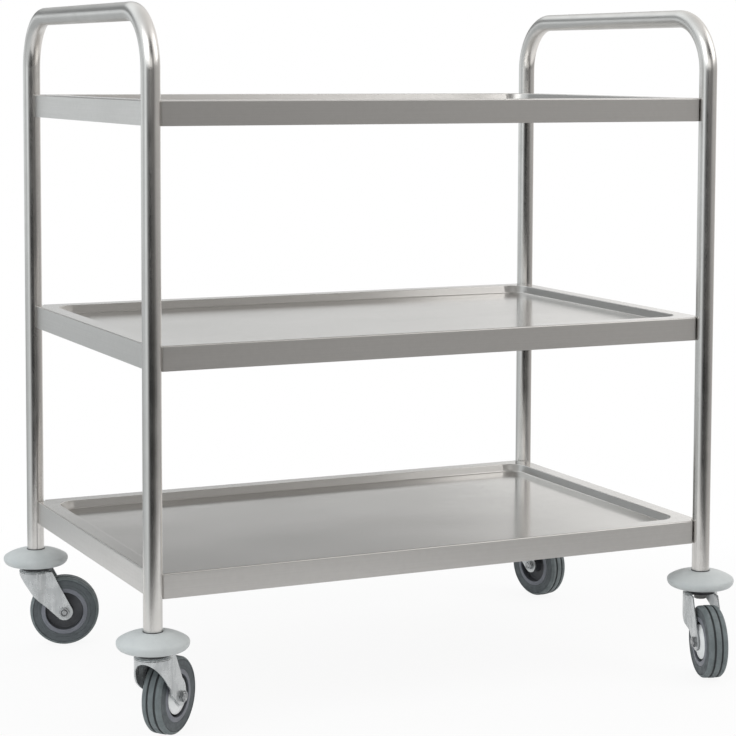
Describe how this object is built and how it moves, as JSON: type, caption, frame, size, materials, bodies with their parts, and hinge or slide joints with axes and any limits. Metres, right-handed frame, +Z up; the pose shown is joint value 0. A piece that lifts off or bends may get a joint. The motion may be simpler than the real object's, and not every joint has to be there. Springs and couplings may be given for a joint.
{
  "type": "serving trolley",
  "caption": "Stainless steel serving trolley: tube end frames with push handles, tray shelves with sunk floors, bumper discs and swivel castors.",
  "frame": {"origin": "on the floor, under the middle of the whole box at rest, with the castors turned as stored", "axes": "+X along the trolley from the left end frame to the right one, +Y from the front side to the rear side, +Z up"},
  "size_m": [0.925, 0.6642, 0.946],
  "materials": {
    "tube_steel": "polished stainless tube, fine lengthwise grain",
    "tray_steel": "satin stainless sheet",
    "fastener_steel": "plain stainless",
    "zinc_plate": "bright zinc plated pressed steel",
    "bearing_steel": "ground bearing steel",
    "bumper_plastic": "soft light grey moulded plastic",
    "hub_plastic": "mid grey moulded plastic",
    "tyre_rubber": "grey non-marking rubber"
  },
  "bodies": {
    "trolley": {"left_frame": "tube_steel", "right_frame": "tube_steel", "top_tray": "tray_steel", "top_channel": "tray_steel", "middle_tray": "tray_steel", "middle_channel": "tray_steel", "bottom_tray": "tray_steel", "bottom_channel": "tray_steel", "corner_bolts": "fastener_steel", "saddle_washers": "fastener_steel", "rivet_nuts": "fastener_steel", "stem_bolts": "fastener_steel", "stem_sockets": "fastener_steel", "bumper_front_left": "bumper_plastic", "upper_race_front_left": "zinc_plate", "kingpin_front_left": "zinc_plate", "bumper_front_right": "bumper_plastic", "upper_race_front_right": "zinc_plate", "kingpin_front_right": "zinc_plate", "bumper_rear_left": "bumper_plastic", "upper_race_rear_left": "zinc_plate", "kingpin_rear_left": "zinc_plate", "bumper_rear_right": "bumper_plastic", "upper_race_rear_right": "zinc_plate", "kingpin_rear_right": "zinc_plate"},
    "castor_front_left": {"fork_front_left": "zinc_plate", "ball_ring_front_left": "bearing_steel", "axle_bolt_front_left": "zinc_plate", "axle_nut_front_left": "zinc_plate", "axle_sleeve_front_left": "bearing_steel"},
    "wheel_front_left": {"wheel_hub_front_left": "hub_plastic", "tyre_front_left": "tyre_rubber", "thread_guard_front_left": "zinc_plate"},
    "castor_front_right": {"fork_front_right": "zinc_plate", "ball_ring_front_right": "bearing_steel", "axle_bolt_front_right": "zinc_plate", "axle_nut_front_right": "zinc_plate", "axle_sleeve_front_right": "bearing_steel"},
    "wheel_front_right": {"wheel_hub_front_right": "hub_plastic", "tyre_front_right": "tyre_rubber", "thread_guard_front_right": "zinc_plate"},
    "castor_rear_left": {"fork_rear_left": "zinc_plate", "ball_ring_rear_left": "bearing_steel", "axle_bolt_rear_left": "zinc_plate", "axle_nut_rear_left": "zinc_plate", "axle_sleeve_rear_left": "bearing_steel"},
    "wheel_rear_left": {"wheel_hub_rear_left": "hub_plastic", "tyre_rear_left": "tyre_rubber", "thread_guard_rear_left": "zinc_plate"},
    "castor_rear_right": {"fork_rear_right": "zinc_plate", "ball_ring_rear_right": "bearing_steel", "axle_bolt_rear_right": "zinc_plate", "axle_nut_rear_right": "zinc_plate", "axle_sleeve_rear_right": "bearing_steel"},
    "wheel_rear_right": {"wheel_hub_rear_right": "hub_plastic", "tyre_rear_right": "tyre_rubber", "thread_guard_rear_right": "zinc_plate"}
  },
  "joints": [
    {"name": "swivel_front_left", "type": "hinge", "parent": "trolley", "child": "castor_front_left", "pos_m": [-0.415, -0.24038, 0.1168], "axis": [0, 0, 1], "continuous": true},
    {"name": "roll_front_left", "type": "hinge", "parent": "castor_front_left", "child": "wheel_front_left", "pos_m": [-0.38379, -0.21228, 0.051], "axis": [-0.6691, 0.7431, 0], "continuous": true},
    {"name": "swivel_front_right", "type": "hinge", "parent": "trolley", "child": "castor_front_right", "pos_m": [0.415, -0.24038, 0.1168], "axis": [0, 0, 1], "continuous": true},
    {"name": "roll_front_right", "type": "hinge", "parent": "castor_front_right", "child": "wheel_front_right", "pos_m": [0.40342, -0.28075, 0.051], "axis": [0.9613, -0.2756, 0], "continuous": true},
    {"name": "swivel_rear_left", "type": "hinge", "parent": "trolley", "child": "castor_rear_left", "pos_m": [-0.415, 0.28462, 0.1168], "axis": [0, 0, 1], "continuous": true},
    {"name": "roll_rear_left", "type": "hinge", "parent": "castor_rear_left", "child": "wheel_rear_left", "pos_m": [-0.37506, 0.27164, 0.051], "axis": [0.309, 0.9511, 0], "continuous": true},
    {"name": "swivel_rear_right", "type": "hinge", "parent": "trolley", "child": "castor_rear_right", "pos_m": [0.415, 0.28462, 0.1168], "axis": [0, 0, 1], "continuous": true},
    {"name": "roll_rear_right", "type": "hinge", "parent": "castor_rear_right", "child": "wheel_rear_right", "pos_m": [0.42373, 0.24354, 0.051], "axis": [0.9781, 0.2079, 0], "continuous": true}
  ]
}
